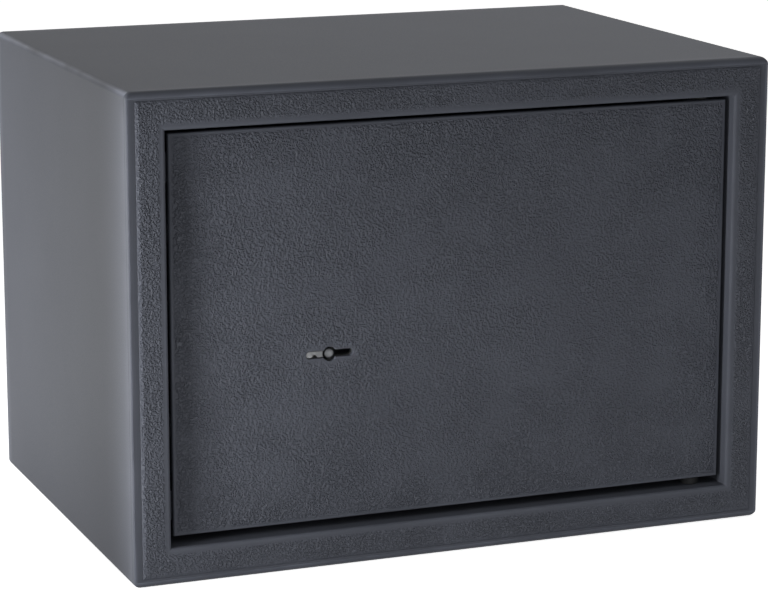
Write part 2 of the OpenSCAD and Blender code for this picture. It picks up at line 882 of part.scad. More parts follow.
body_wrap();
front_edge();
front_frame();
opening_lips();
rear_panel();
floor_mat();
door_stops();
hinge_pins();
hinge_washers();
door_plate();
hinge_lugs();
weld_studs();
bolt_guide();
locking_bolts();
bolt_bar();
bolt_bar_screws();
lock_case();
lock_fixing_nuts();
lock_cover();
lock_cover_screws();
key_guide();
key_pin();
lock_tongue();
tongue_pin();
tongue_guide_post();
lever_post();
lever_1();
lever_2();
lever_3();
lever_4();
lever_5();
lever_6();
lever_springs();
rear_cover();
rear_cover_nuts();
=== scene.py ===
import math
import bmesh
import bpy
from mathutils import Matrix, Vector, noise


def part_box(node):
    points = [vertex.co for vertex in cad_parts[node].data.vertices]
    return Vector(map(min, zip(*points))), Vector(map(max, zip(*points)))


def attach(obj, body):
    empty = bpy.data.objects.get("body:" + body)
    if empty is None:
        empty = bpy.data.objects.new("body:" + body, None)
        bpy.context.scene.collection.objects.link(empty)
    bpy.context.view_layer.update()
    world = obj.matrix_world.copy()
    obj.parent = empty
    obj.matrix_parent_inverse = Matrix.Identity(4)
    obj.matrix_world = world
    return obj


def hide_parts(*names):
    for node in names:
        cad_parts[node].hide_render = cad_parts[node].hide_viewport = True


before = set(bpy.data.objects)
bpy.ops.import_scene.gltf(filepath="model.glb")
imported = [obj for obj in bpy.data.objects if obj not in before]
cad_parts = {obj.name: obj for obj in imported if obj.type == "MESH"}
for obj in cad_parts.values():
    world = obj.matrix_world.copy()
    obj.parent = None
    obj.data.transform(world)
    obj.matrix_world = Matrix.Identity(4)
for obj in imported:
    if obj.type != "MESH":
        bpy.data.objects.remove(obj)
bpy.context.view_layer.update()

MM = 0.001
scene = bpy.context.scene

# ---- The picture ----
# The box stands alone on a white table in a white room, seen from its left and a little from
# above. A soft light stands low at its left, and a narrow one at the front left corner grazes
# the face, so that the grain shows at the left and fades to the right. A long low light in
# front and a weak one above fill the rest.

camera_place = Vector((-573.5, -1473.4, 458.5)) * MM
camera_turn = math.radians(21.53)
camera_dip = math.radians(12.47)
camera_lens = 137.85

camera_data = bpy.data.cameras.new("camera")
camera_data.sensor_width = 36
camera_data.lens = camera_lens
camera_data.clip_end = 50
camera = bpy.data.objects.new("camera", camera_data)
camera.location = camera_place
camera.rotation_euler = (math.pi / 2 - camera_dip, 0, -camera_turn)
scene.collection.objects.link(camera)
scene.camera = camera
scene.view_settings.view_transform = "Standard"


def feed(tree, node, key, value):
    """Sets an input of a node, or links it to the output that is given."""
    if isinstance(value, bpy.types.NodeSocket):
        tree.links.new(value, node.inputs[key])
    else:
        node.inputs[key].default_value = value


def add_node(tree, kind, *first, **settings):
    """A new shader node. Its first inputs are given in their order and others by names with a
    capital. The other names are its options."""
    made = tree.nodes.new("ShaderNode" + kind)
    for name, value in settings.items():
        if name[0].isupper():
            feed(tree, made, name.replace("_", " "), value)
        else:
            setattr(made, name, value)
    for k, value in enumerate(first):
        feed(tree, made, k, value)
    return made


def white_where_seen(tree, strength):
    """How much white is added where the camera, a reflection or clear stuff shows the room."""
    path = add_node(tree, "LightPath").outputs
    seen = add_node(tree, "Math", path["Is Camera Ray"], path["Is Glossy Ray"],
                    operation="MAXIMUM")
    seen_through = add_node(tree, "Math", seen.outputs[0], path["Is Transmission Ray"],
                            operation="MAXIMUM")
    scaled = add_node(tree, "Math", seen_through.outputs[0], strength, operation="MULTIPLY")
    return scaled.outputs[0]


room_light = 0.32
table_white = 0.8
white = (1, 1, 1, 1)
room = bpy.data.worlds.new("white_room")
scene.world = room
room.use_nodes = True
tree = room.node_tree
tree.nodes.clear()
fill = add_node(tree, "Background", Color=white, Strength=room_light)
backdrop = add_node(tree, "Background", Color=white, Strength=1)
which = add_node(tree, "MixShader", white_where_seen(tree, 1), fill.outputs[0],
                 backdrop.outputs[0])
add_node(tree, "OutputWorld", which.outputs[0])

table_paint = bpy.data.materials.new("table_white")
table_paint.use_nodes = True
tree = table_paint.node_tree
tree.nodes.clear()
lit = add_node(tree, "BsdfDiffuse", Color=(0.8, 0.8, 0.8, 1))
glow = add_node(tree, "Emission", Color=white, Strength=white_where_seen(tree, table_white))
both = add_node(tree, "AddShader", lit.outputs[0], glow.outputs[0])
add_node(tree, "OutputMaterial", both.outputs[0])

table_half = 4.0
table_mesh = bpy.data.meshes.new("table")
table_mesh.from_pydata(
    [(-table_half, -table_half, 0), (table_half, -table_half, 0),
     (table_half, table_half, 0), (-table_half, table_half, 0)], [], [(0, 1, 2, 3)])
table_mesh.materials.append(table_paint)
table = bpy.data.objects.new("table", table_mesh)
scene.collection.objects.link(table)


def soft_light(name, place, target, width, height, watts, spread=180):
    """A flat lamp that lights the box without showing in the picture itself. Its light keeps
    within the spread, in degrees."""
    lamp_data = bpy.data.lights.new(name, "AREA")
    lamp_data.shape = "RECTANGLE"
    lamp_data.size = width
    lamp_data.size_y = height
    lamp_data.energy = watts
    lamp_data.spread = math.radians(spread)
    lamp = bpy.data.objects.new(name, lamp_data)
    lamp.location = place
    aim = Vector(target) - Vector(place)
    lamp.rotation_euler = aim.to_track_quat("-Z", "Y").to_euler()
    lamp.visible_camera = False
    scene.collection.objects.link(lamp)


soft_light("side_light", (-0.43, 0.21, 0.13), (0, 0.19, 0.13), 0.32, 0.27, 1.28)
soft_light("grazing_light", (-0.30, -0.17, 0.12), (0, -0.17, 0.12), 0.04, 0.28, 0.35, spread=70)
soft_light("low_light", (0.06, -0.55, 0.03), (0.06, -0.125, 0.06), 0.5, 0.05, 0.77)
soft_light("upper_light", (0.6, 0.15, 0.9), (0.1, 0, 0.25), 0.5, 0.5, 1.45)

# ---- The body ----
# One steel sheet folded round the bottom, the sides and the top. Its two ends are welded at
# the bottom, and it has a smooth powder coat. Two holes in the base take floor anchors.

body_low, body_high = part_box("body_wrap")
body_w = body_high.x - body_low.x
body_h = body_high.z - body_low.z
mid_z = body_low.z + body_h / 2
seam_y = body_low.y
back_y = body_high.y
sheet_t = 1.5 * MM
edge_r = 3.5 * MM
anchor_x = 110 * MM
anchor_r = 6 * MM


def rim(width, height, radius, y, corner_steps=6, step=8 * MM):
    """An upright rectangle with round corners, as points round the box's middle at depth y."""
    points = []
    steps_w = round(body_w / step)
    steps_h = round(body_h / step)
    corners = ((1, 1, 0, steps_w), (-1, 1, 90, steps_h),
               (-1, -1, 180, steps_w), (1, -1, 270, steps_h))
    middles = [(sx * (width / 2 - radius), sz * (height / 2 - radius)) for sx, sz, a, n in corners]
    for k, (sx, sz, start, steps) in enumerate(corners):
        x, z = middles[k]
        for c in range(corner_steps + 1):
            turn = math.radians(start + 90 * c / corner_steps)
            points.append(Vector((x + radius * math.cos(turn), y,
                                  mid_z + z + radius * math.sin(turn))))
        along_x, along_z = middles[(k + 1) % 4]
        turn = math.radians(start + 90)
        first = points[-1]
        last = Vector((along_x + radius * math.cos(turn), y,
                       mid_z + along_z + radius * math.sin(turn)))
        points += [first.lerp(last, n / steps) for n in range(1, steps)]
    return points


def skin(shape, rows, ring=False):
    """Faces between rows of as many points each. In a ring the last row meets the first."""
    for a, b in zip(rows, rows[1:] + rows[:1] if ring else rows[1:]):
        for k in range(len(a)):
            n = (k + 1) % len(a)
            shape.faces.new((a[k], a[n], b[n], b[k]))


def joined_rims(name, rims, ring=True):
    """A mesh through rows of as many points each. Each row has its grain and its edge paling, part
    wear and part painted highlight.
    """
    shape = bmesh.new()
    edge_layer = shape.verts.layers.float.new("edge")
    grain = shape.verts.layers.float.new("grain")
    rows = []
    for points, wear_and_highlight, grained in rims:
        row = [shape.verts.new(p) for p in points]
        for v in row:
            v[edge_layer] = wear_and_highlight
            v[grain] = grained
        rows.append(row)
    skin(shape, rows, ring)
    return mesh_piece(name, shape)


def mesh_piece(name, shape):
    """An object from a bmesh, with doubled points merged and its faces turned outward."""
    bmesh.ops.remove_doubles(shape, verts=shape.verts, dist=1e-6)
    bmesh.ops.dissolve_degenerate(shape, edges=shape.edges, dist=1e-7)
    bmesh.ops.recalc_face_normals(shape, faces=shape.faces)
    mesh = bpy.data.meshes.new(name)
    shape.to_mesh(mesh)
    shape.free()
    piece = bpy.data.objects.new(name, mesh)
    scene.collection.objects.link(piece)
    return piece


def apply_modifiers(piece):
    bpy.context.view_layer.update()
    graph = bpy.context.evaluated_depsgraph_get()
    mesh = bpy.data.meshes.new_from_object(piece.evaluated_get(graph))
    piece.modifiers.clear()
    mesh.name = piece.name
    piece.data = mesh


def smooth_faces(piece, sharp_above):
    """Smooth shading that stays flat on the flats and sharp at the sharp edges."""
    piece.data.shade_smooth()
    piece.data.set_sharp_from_angle(angle=math.radians(sharp_above))
    weighted = piece.modifiers.new("flats", "WEIGHTED_NORMAL")
    weighted.keep_sharp = True
    apply_modifiers(piece)


def cut_away(piece, cutter):
    """Takes the cutter's shape out of the piece."""
    cutting = piece.modifiers.new("cut", "BOOLEAN")
    cutting.operation = "DIFFERENCE"
    cutting.solver = "EXACT"
    cutting.object = cutter
    apply_modifiers(piece)
    bpy.data.objects.remove(cutter)


def turned(shape, centre, axis, rows, steps=48, ring=False):
    """Adds a turned form: rows of (place along the axis, radius), each a number or a function
    of the angle. Open ends are closed flat."""
    made = []
    for along, radius in rows:
        row = []
        for k in range(steps):
            a = 2 * math.pi * k / steps
            r = radius(a) if callable(radius) else radius
            t = along(a) if callable(along) else along
            c, s = r * math.cos(a), r * math.sin(a)
            p = {"x": (t, c, s), "y": (c, t, s), "z": (c, s, t)}[axis]
            row.append(shape.verts.new(Vector(centre) + Vector(p)))
        made.append(row)
    skin(shape, made, ring)
    if not ring:
        for end, row in ((0, rows[0]), (-1, rows[-1])):
            if callable(row[1]) or row[1] > 0:
                shape.faces.new(made[end])


def hole_cutter(centre, axis, low, high, radius, lead=0.4 * MM, past=1 * MM):
    """A cutter for a hole from low to high whose two rims are rounded by the paint."""
    shape = bmesh.new()
    turned(shape, centre, axis, [
        (low - past, radius + lead), (low, radius + lead),
        (low + 0.3 * lead, radius + 0.3 * lead), (low + lead, radius), (high - lead, radius),
        (high - 0.3 * lead, radius + 0.3 * lead), (high, radius + lead),
        (high + past, radius + lead)])
    return mesh_piece("cutter", shape)


def fit_on(piece, finish, slot, body, *nodes, sharp_above=35):
    """Shades a piece, and gives it its finish and its body, in the place of the CAD nodes that
    it shows."""
    smooth_faces(piece, sharp_above)
    piece.data.materials.append(finish)
    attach(piece, body)
    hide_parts(*nodes)


def sheet_unevenness(piece, amount):
    """The faint unevenness of folded sheet: inward only, and none near the folds."""
    end_calm = 40 * MM
    fold_calm = 30 * MM
    outer_layer = 1.8 * MM
    for v in piece.data.vertices:
        x, y, z = v.co
        calm_y = min(y - seam_y, back_y - y) / end_calm
        side = body_w / 2 - abs(x)
        top = body_high.z - z
        bottom = z - body_low.z
        swell = 0.5 + 0.5 * noise.noise(Vector((x, y, z)) * 9)
        if side < outer_layer:
            calm = min(calm_y, top / fold_calm, bottom / fold_calm, 1)
            v.co.x -= math.copysign(amount * swell * max(calm, 0), x)
        elif top < outer_layer:
            calm = min(calm_y, side / fold_calm, 1)
            v.co.z -= amount * swell * max(calm, 0)


def painted_fold_highlights(piece):
    """A painted highlight: paler paint along the two long folds beside the top."""
    wear_and_highlight = piece.data.attributes["edge"]
    outer_side = 3 * MM
    most = 2
    fall = 2.4
    for v in piece.data.vertices:
        across = body_w / 2 - abs(v.co.x)
        down = body_high.z - v.co.z
        from_bend = math.hypot(edge_r - across, edge_r - down)
        if across < edge_r and down < edge_r and from_bend > outer_side:
            from_middle = abs(across - down) / edge_r
            wear_and_highlight.data[v.index].value = max(0, most - fall * from_middle)


def quarter_turn(steps):
    """The angles of a quarter turn in that many steps."""
    return [math.radians(90 * k / steps) for k in range(steps + 1)]


body_rims = []
edge_turn = 0.35 * MM
outer_rows = 30
front_wear = 0.2
back_wear = 0.5
for a in quarter_turn(3):
    inset = edge_turn * (1 - math.sin(a))
    y = seam_y + edge_turn * (1 - math.cos(a))
    points = rim(body_w - 2 * inset, body_h - 2 * inset, edge_r - inset, y)
    body_rims.append((points, front_wear, 0))
for k in range(1, outer_rows):
    y = seam_y + edge_turn + (back_y - seam_y - 2 * edge_turn) * k / outer_rows
    body_rims.append((rim(body_w, body_h, edge_r, y), 0, 0))
for a in quarter_turn(3):
    inset = edge_turn * (1 - math.cos(a))
    y = back_y - edge_turn * (1 - math.sin(a))
    points = rim(body_w - 2 * inset, body_h - 2 * inset, edge_r - inset, y)
    body_rims.append((points, back_wear, 0))
inner_w = body_w - 2 * sheet_t
inner_h = body_h - 2 * sheet_t
for k in range(outer_rows + 1):
    y = back_y + (seam_y - back_y) * k / outer_rows
    body_rims.append((rim(inner_w, inner_h, edge_r - sheet_t, y), 0, 0))
body = joined_rims("body_sheet", body_rims)
sheet_unevenness(body, amount=0.22 * MM)
# Paler paint along the top folds: a painted highlight.
painted_fold_highlights(body)
for side in (-1, 1):
    cut_away(body, hole_cutter((side * anchor_x, 0, 0), "z", 0, sheet_t, anchor_r))

paint_dark = (0.0525, 0.0565, 0.0695, 1)
paint_pale = (0.0580, 0.0625, 0.0765, 1)
paint_shine = 0.10
paint_rough = 0.54
peel_depth = 0.012 * MM
wear_and_highlight_paler = 2.6


def new_finish(name):
    """A new material, its nodes, its shader and the places on the piece."""
    material = bpy.data.materials.new(name)
    material.use_nodes = True
    tree = material.node_tree
    place = add_node(tree, "TexCoord").outputs["Object"]
    return material, tree, tree.nodes["Principled BSDF"], place


def cloudy(tree, place, **settings):
    return add_node(tree, "TexNoise", place, **settings).outputs["Fac"]


def ranged(tree, value, low, high, **settings):
    """The value as its share of the way from low to high."""
    return add_node(tree, "MapRange", value, From_Min=low, From_Max=high, **settings).outputs[0]


def product(tree, first, second):
    return add_node(tree, "Math", first, second, operation="MULTIPLY").outputs[0]


def blend(tree, share, first, second):
    """The first colour with that share of the second."""
    mix = add_node(tree, "Mix", share, data_type="RGBA")
    feed(tree, mix, 6, first)
    feed(tree, mix, 7, second)
    return mix.outputs[2]


def bumped(tree, height, depth, **settings):
    return add_node(tree, "Bump", Strength=1, Distance=depth, Height=height,
                    **settings).outputs[0]


def paint_material(name, grain_size, grain_depth):
    """Dark powder coat with faint clouds. Along the edges it is paler and smoother, partly worn
    thin and partly a painted highlight. Where the mesh says grain it has a leather grain with
    shinier tops, and painted shade darkens its valleys. Elsewhere it has the fine orange peel of a
    smooth coat."""
    material, tree, shader, place = new_finish(name)
    shader.inputs["Specular IOR Level"].default_value = paint_shine
    grained = add_node(tree, "Attribute", attribute_name="grain").outputs["Fac"]
    edges = add_node(tree, "Attribute", attribute_name="edge").outputs["Fac"]
    tone = ranged(tree, cloudy(tree, place, Scale=14, Detail=3, Roughness=0.6), 0.3, 0.7)

    cells = cloudy(tree, place, Scale=1 / grain_size, Detail=1, Roughness=0.5, Distortion=0.3)
    raised = ranged(tree, cells, 0.36, 0.66, interpolation_type="SMOOTHSTEP")
    patchy = ranged(tree, cloudy(tree, place, Scale=45, Detail=2), 0.35, 0.6, To_Min=0.5)
    strength = product(tree, grained, patchy)
    grain = product(tree, raised, strength)
    peel = cloudy(tree, place, Scale=1400, Detail=2, Roughness=0.6)
    grain_bump = bumped(tree, grain, grain_depth)
    feed(tree, shader, "Normal", bumped(tree, peel, peel_depth, Normal=grain_bump))

    # Painted shade in the grain: its valleys are darker than its raised tops.
    level = add_node(tree, "Mix", strength, data_type="FLOAT")
    feed(tree, level, 2, 1)
    feed(tree, level, 3, ranged(tree, raised, 0, 1, To_Min=1.0, To_Max=1.12))
    colour = blend(tree, tone, paint_dark, paint_pale)
    shaded = add_node(tree, "VectorMath", colour, operation="SCALE", Scale=level.outputs[0])
    # Paler paint along the edges: partly wear, partly a painted highlight.
    wear_and_highlight_paint = [c * wear_and_highlight_paler for c in paint_pale[:3]] + [1]
    worn_and_highlit = product(tree, edges, tone)
    feed(tree, shader, "Base Color", blend(tree, worn_and_highlit, shaded.outputs[0], wear_and_highlight_paint))

    sheen = ranged(tree, peel, 0.3, 0.7, To_Min=paint_rough + 0.05, To_Max=paint_rough - 0.05)
    polished = add_node(tree, "Math", grain, -0.12, sheen, operation="MULTIPLY_ADD")
    handled = add_node(tree, "Math", edges, -0.1, polished.outputs[0], operation="MULTIPLY_ADD")
    feed(tree, shader, "Roughness", handled.outputs[0])
    return material


paint = paint_material("powder_coat", grain_size=1.15 * MM, grain_depth=0.95 * MM)
fit_on(body, paint, "smooth_paint", "cabinet", "body_wrap")

# ---- The front's border ----
# A narrow smooth border round the face, bent back to meet the body and welded to it at the
# seam. It lies a little behind the face, and a faint ridge runs along it.

face_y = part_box("front_edge")[0].y
pan_depth = seam_y - face_y
border_low = 0.2 * MM
top_r = 3.3 * MM
side_r = 0.9 * MM


def frame_row(inset_x, inset_z, depth, wear_and_highlight=0.0, grained=0.0):
    """One row round the front, in mm: inset from the sides, inset from the top, depth."""
    radius = max(3.5 - max(inset_x, inset_z), 0.35)
    points = rim(body_w - 2 * inset_x * MM, body_h - 2 * inset_z * MM, radius * MM,
                 face_y + depth * MM)
    return points, wear_and_highlight, grained


# Towards the front, the border's outer fold has paler paint: partly wear, partly a painted
# highlight.
border_rows = [frame_row(0.25, 0.25, pan_depth / MM, 0.2), frame_row(0, 0, pan_depth / MM - 0.25)]
for k, a in enumerate(quarter_turn(12)):
    behind = top_r * (1 - math.sin(a))
    inset_z = top_r * (1 - math.cos(a))
    left = max(side_r - behind, 0)
    inset_x = side_r - math.sqrt(side_r ** 2 - left ** 2)
    border_rows.append(frame_row(inset_x / MM, inset_z / MM, (border_low + behind) / MM,
                                 0.5 * (k / 12) ** 3))
for inset_x, inset_z, depth in ((2.0, 3.5, 0.38), (2.3, 3.6, 0.32), (2.6, 3.7, 0.37),
                                (3.5, 4.0, 0.47), (4.3, 4.3, 0.56), (4.4, 4.4, 0.75),
                                (4.4, 4.4, 1.45), (3.6, 3.6, 1.55), (2.6, 2.6, 1.9),
                                (1.9, 1.9, 2.5), (1.5, 1.5, 3.3), (1.5, 1.5, 4.0)):
    border_rows.append(frame_row(inset_x, inset_z, depth))
border = joined_rims("front_border", border_rows)
fit_on(border, paint, "smooth_paint", "cabinet", "front_edge")

# ---- The face and its lips ----
# A flat steel frame set in the border, with four lips that run back round the door opening,
# mitred and welded at the corners. The face has the leather grain, which thins out towards the
# folds. The upper and lower lip are bored for the hinge pins.

lip_end = (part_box("opening_lips")[1].y - face_y) / MM
opening = 19.5
fold_r = 1.5
lip_t = sheet_t / MM
pins_low, pins_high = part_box("hinge_pins")
hinge_x = (pins_low.x + pins_high.x) / 2
hinge_y = (pins_low.y + pins_high.y) / 2
hinge_bore_r = 2.55 * MM

face_rows = []
# The paler strip where the grain begins, 4.5 to 6.4 mm in, is a painted highlight.
for inset, depth, wear_and_highlight, grained in (
        (4.4, 1.5, 0, 0), (4.4, 0.72, 0, 0), (4.55, 0.52, 0.05, 0.1), (5.3, 0.26, 0.1, 0.45),
        (6.0, 0.04, 0.15, 0.8), (6.4, 0, 0.05, 1), (8, 0, 0, 1), (11, 0, 0, 1), (14, 0, 0, 1),
        (15.2, 0, 0, 0.8), (16.4, 0.02, 0, 0.1), (17.2, 0.06, 0, 0)):
    face_rows.append(frame_row(inset, inset, depth, wear_and_highlight, grained))
fold_low = 0.1
# The fold round the opening gets paler paint: a painted highlight.
fold_highlight = 0.15
for k, a in enumerate(quarter_turn(8)):
    inset = opening - fold_r + fold_r * math.sin(a)
    depth = fold_low + (fold_r - fold_low) * (1 - math.cos(a))
    face_rows.append(frame_row(inset, inset, depth, fold_highlight - fold_highlight * k / 8))
for k in range(1, 7):
    face_rows.append(frame_row(opening, opening, fold_r + (lip_end - 0.2 - fold_r) * k / 6))
for inset, depth, wear_and_highlight in ((opening - 0.2, lip_end, 0.5), (opening - lip_t + 0.2, lip_end, 0.5),
                           (opening - lip_t, lip_end - 0.2, 0.2), (opening - lip_t, 15, 0),
                           (opening - lip_t, 10, 0), (opening - lip_t, 6, 0),
                           (opening - lip_t, 2.6, 0), (opening - lip_t - 0.4, 1.8, 0),
                           (opening - lip_t - 1.2, lip_t, 0), (13, lip_t, 0), (10, lip_t, 0),
                           (7, lip_t, 0)):
    face_rows.append(frame_row(inset, inset, depth, wear_and_highlight))
face = joined_rims("front_face", face_rows)


def face_unevenness(piece, amount, edge_free):
    """The face's slight hollows, behind its front plane and none near its edges."""
    front_y = min(v.co.y for v in piece.data.vertices)
    for v in piece.data.vertices:
        if v.co.y < front_y + 0.05 * MM:
            away = edge_free(v.co)
            swell = 0.5 + 0.5 * noise.noise(v.co * 16 + Vector((3, 1, 7)))
            v.co.y += amount * swell * max(min(away / (5 * MM), 1), 0)


def away_from_frame_edges(p):
    from_outside = min(body_w / 2 - abs(p.x), body_h / 2 - abs(p.z - mid_z))
    return min(from_outside - 7 * MM, (opening - fold_r) * MM - from_outside)


face_unevenness(face, amount=0.10 * MM, edge_free=away_from_frame_edges)
cut_away(face, hole_cutter((hinge_x, hinge_y, 0), "z", body_low.z, body_high.z, hinge_bore_r))
fit_on(face, paint, "textured_paint", "cabinet", "front_frame", "opening_lips")

# ---- The rear panel ----
# A flat steel panel let into the back of the body and welded round its edge. The weld is ground
# flush before the powder coat. Two holes take wall anchors.

panel_low, panel_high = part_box("rear_panel")
panel_w = panel_high.x - panel_low.x
panel_h = panel_high.z - panel_low.z
anchor_z = 150 * MM
panel_r = 2 * MM
weld_r = 0.3 * MM
weld_wear = 0.4
panel_hollow = 0.12 * MM
panel_rims = [(rim(0, 0, 0, panel_low.y), 0, 0)]
for share in (0.25, 0.5, 0.75, 0.92, 1):
    panel_rims.append((rim(panel_w * share, panel_h * share, panel_r * share, panel_low.y), 0, 0))
for a in quarter_turn(4):
    inset = weld_r * (1 - math.cos(a))
    y = panel_high.y - weld_r * (1 - math.sin(a))
    points = rim(panel_w - 2 * inset, panel_h - 2 * inset, panel_r - inset, y)
    panel_rims.append((points, weld_wear, 0))
for share in (0.97, 0.94, 0.85, 0.7, 0.55, 0.4, 0.2, 0):
    y = panel_high.y - panel_hollow * (1 - share)
    panel_rims.append((rim(panel_w * share, panel_h * share, 1 * MM * share, y), 0, 0))
panel = joined_rims("back_panel", panel_rims, ring=False)
for side in (-1, 1):
    cut_away(panel, hole_cutter((side * anchor_x, 0, anchor_z), "y", panel_low.y, panel_high.y,
                                anchor_r))
fit_on(panel, paint, "smooth_paint", "cabinet", "rear_panel")

# ---- The floor mat ----
# A loose mat of needle-punched carpet on the floor of the safe, with two large holes that clear
# the anchors' heads. Its cut edges are a little ragged.

mat_low, mat_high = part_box("floor_mat")
mat_w = mat_high.x - mat_low.x
mat_d = mat_high.y - mat_low.y
mat_r = 6 * MM
mat_step = 2.5 * MM
mat_hole_r = 16 * MM


def mat_outline(inset, z):
    """The mat's outline at that height, drawn in by the inset."""
    points = []
    sides = ((1, 1, 0), (-1, 1, 90), (-1, -1, 180), (1, -1, 270))
    for k, (sx, sy, start) in enumerate(sides):
        cx, cy = sx * (mat_w / 2 - mat_r), sy * (mat_d / 2 - mat_r)
        for c in range(9):
            a = math.radians(start + 90 * c / 8)
            points.append(Vector((cx + mat_r * math.cos(a), cy + mat_r * math.sin(a), z)))
        nx, ny = sides[(k + 1) % 4][:2]
        a = math.radians(start + 90)
        last = Vector((nx * (mat_w / 2 - mat_r) + mat_r * math.cos(a),
                       ny * (mat_d / 2 - mat_r) + mat_r * math.sin(a), z))
        steps = round((last - points[-1]).length / mat_step)
        first = points[-1].copy()
        points += [first.lerp(last, n / steps) for n in range(1, steps)]
    drawn = []
    for p in points:
        ragged = inset * (1 + 0.5 * noise.noise(p * 700))
        share = 1 - ragged / Vector((p.x, p.y)).length
        drawn.append(Vector((p.x * share, p.y * share, z)))
    return drawn


mat_top = mat_low.z + 2.9 * MM
mat_rows = []
for inset, height in ((0.6, 0.02), (0.15, 0.5), (0.05, 1.4), (0.2, 2.3), (0.7, 2.75), (1.8, 2.9)):
    mat_rows.append((mat_outline(inset * MM, mat_low.z + height * MM), 0, 0))
for share in (0.9, 0.8, 0.7, 0.6, 0.5, 0.4, 0.3, 0.2, 0.1, 0.03):
    row = [Vector((p.x * share, p.y * share, mat_top)) for p in mat_outline(0, 0)]
    mat_rows.append((row, 0, 0))
mat = joined_rims("carpet_mat", mat_rows, ring=False)
filling = bmesh.new()
filling.from_mesh(mat.data)
bmesh.ops.holes_fill(filling, edges=[e for e in filling.edges if e.is_boundary])
bmesh.ops.triangulate(filling, faces=[f for f in filling.faces if len(f.verts) > 4])
bmesh.ops.recalc_face_normals(filling, faces=filling.faces)
filling.to_mesh(mat.data)
filling.free()
for side in (-1, 1):
    cut_away(mat, hole_cutter((side * anchor_x, 0, 0), "z", mat_low.z, mat_high.z, mat_hole_r))


def carpet_material(name, dark, pale):
    """Needle-punched felt: short tangled fibres in two greys."""
    material, tree, shader, place = new_finish(name)
    fibres = cloudy(tree, place, Scale=900, Detail=6, Roughness=0.75, Distortion=2.5)
    tufts = add_node(tree, "TexVoronoi", place, feature="F1", Scale=420).outputs["Distance"]
    mixed = add_node(tree, "Math", tufts, 0.6, fibres, operation="MULTIPLY_ADD").outputs[0]
    feed(tree, shader, "Base Color", blend(tree, ranged(tree, mixed, 0.45, 1), dark, pale))
    feed(tree, shader, "Normal", bumped(tree, mixed, 0.9 * MM))
    shader.inputs["Roughness"].default_value = 0.95
    shader.inputs["Specular IOR Level"].default_value = 0.2
    shader.inputs["Sheen Weight"].default_value = 0.3
    return material


carpet = carpet_material("carpet", (0.016, 0.016, 0.018, 1), (0.05, 0.05, 0.054, 1))
fit_on(mat, carpet, "carpet", "cabinet", "floor_mat", sharp_above=50)

# ---- The door stops ----
# Two short tabs sheared from 3 mm plate. Each is welded to the left lip with a bead on its
# hidden side and painted over with the frame.


def loose_boxes(node):
    """The low and the high corner of each separate solid of a CAD node."""
    shape = bmesh.new()
    shape.from_mesh(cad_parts[node].data)
    bmesh.ops.remove_doubles(shape, verts=shape.verts, dist=1e-6)
    left = set(shape.verts)
    boxes = []
    while left:
        places, waiting = [], [left.pop()]
        while waiting:
            v = waiting.pop()
            places.append(v.co.copy())
            for e in v.link_edges:
                other = e.other_vert(v)
                if other in left:
                    left.remove(other)
                    waiting.append(other)
        boxes.append((Vector(map(min, zip(*places))), Vector(map(max, zip(*places)))))
    shape.free()
    return sorted(boxes, key=lambda b: tuple(b[0]))


def soft_copy(node, width, fold_radius=0, is_fold=None):
    """A bmesh of the CAD piece: flats merged, folds rounded, other sharp edges softened."""
    shape = bmesh.new()
    shape.from_mesh(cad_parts[node].data)
    bmesh.ops.remove_doubles(shape, verts=shape.verts, dist=1e-6)
    bmesh.ops.dissolve_limit(shape, angle_limit=math.radians(1), verts=shape.verts,
                             edges=shape.edges)
    bmesh.ops.connect_verts_concave(shape, faces=shape.faces)
    edge_layer = shape.loops.layers.float.new("edge")

    def sharp_edges():
        return [e for e in shape.edges if e.is_manifold and e.calc_face_angle() > 0.6]

    if is_fold:
        folds = [e for e in sharp_edges() if is_fold(e.verts[0].co, e.verts[1].co)]
        bmesh.ops.bevel(shape, geom=folds, offset=fold_radius, offset_type="OFFSET", segments=5,
                        profile=0.5, affect="EDGES", clamp_overlap=True)
    made = bmesh.ops.bevel(shape, geom=sharp_edges(), offset=width, offset_type="OFFSET",
                           segments=2, profile=0.5, affect="EDGES", clamp_overlap=True)
    for f in made["faces"]:
        for corner in f.loops:
            corner[edge_layer] = 1
    return shape


def closed_rod(shape, stations, around=10):
    """Adds a rod with closed ends through stations: a middle, two ways across and a radius."""
    rows = []
    turns = [2 * math.pi * n / around for n in range(around)]
    for middle, side, other, radius in stations:
        rows.append([shape.verts.new(middle + (side * math.cos(a) + other * math.sin(a)) * radius)
                     for a in turns])
    skin(shape, rows)
    shape.faces.new(rows[0])
    shape.faces.new(rows[-1])


def weld_bead(shape, start, end, radius):
    """Adds a rippled weld bead between two points."""
    along = end - start
    steps = round(along.length / (0.3 * MM))
    side = along.orthogonal().normalized()
    other = along.cross(side).normalized()
    stations = []
    for k in range(steps + 1):
        share = k / steps
        ripple = 1 + 0.12 * math.sin(k * 1.9)
        r = radius * ripple * math.sqrt(max(0.02, 1 - (2 * share - 1) ** 8))
        stations.append((start + along * share, side, other, r))
    closed_rod(shape, stations)


bead_r = 0.9 * MM
bead_end = 1.5 * MM
shape = soft_copy("door_stops", 0.4 * MM)
for low, high in loose_boxes("door_stops"):
    bead_x = low.x + 0.5 * MM
    bead_y = high.y - 0.1 * MM
    weld_bead(shape, Vector((bead_x, bead_y, low.z + bead_end)),
              Vector((bead_x, bead_y, high.z - bead_end)), bead_r)
stops = mesh_piece("door_stop_tabs", shape)
fit_on(stops, paint, "textured_paint", "cabinet", "door_stops")

# ---- The hinge pins and washers ----
# Two turned pins with flat heads, blackened, pushed through the lips into the door's lugs from
# the hidden side. A black nylon washer fills the gap between lip and lug.


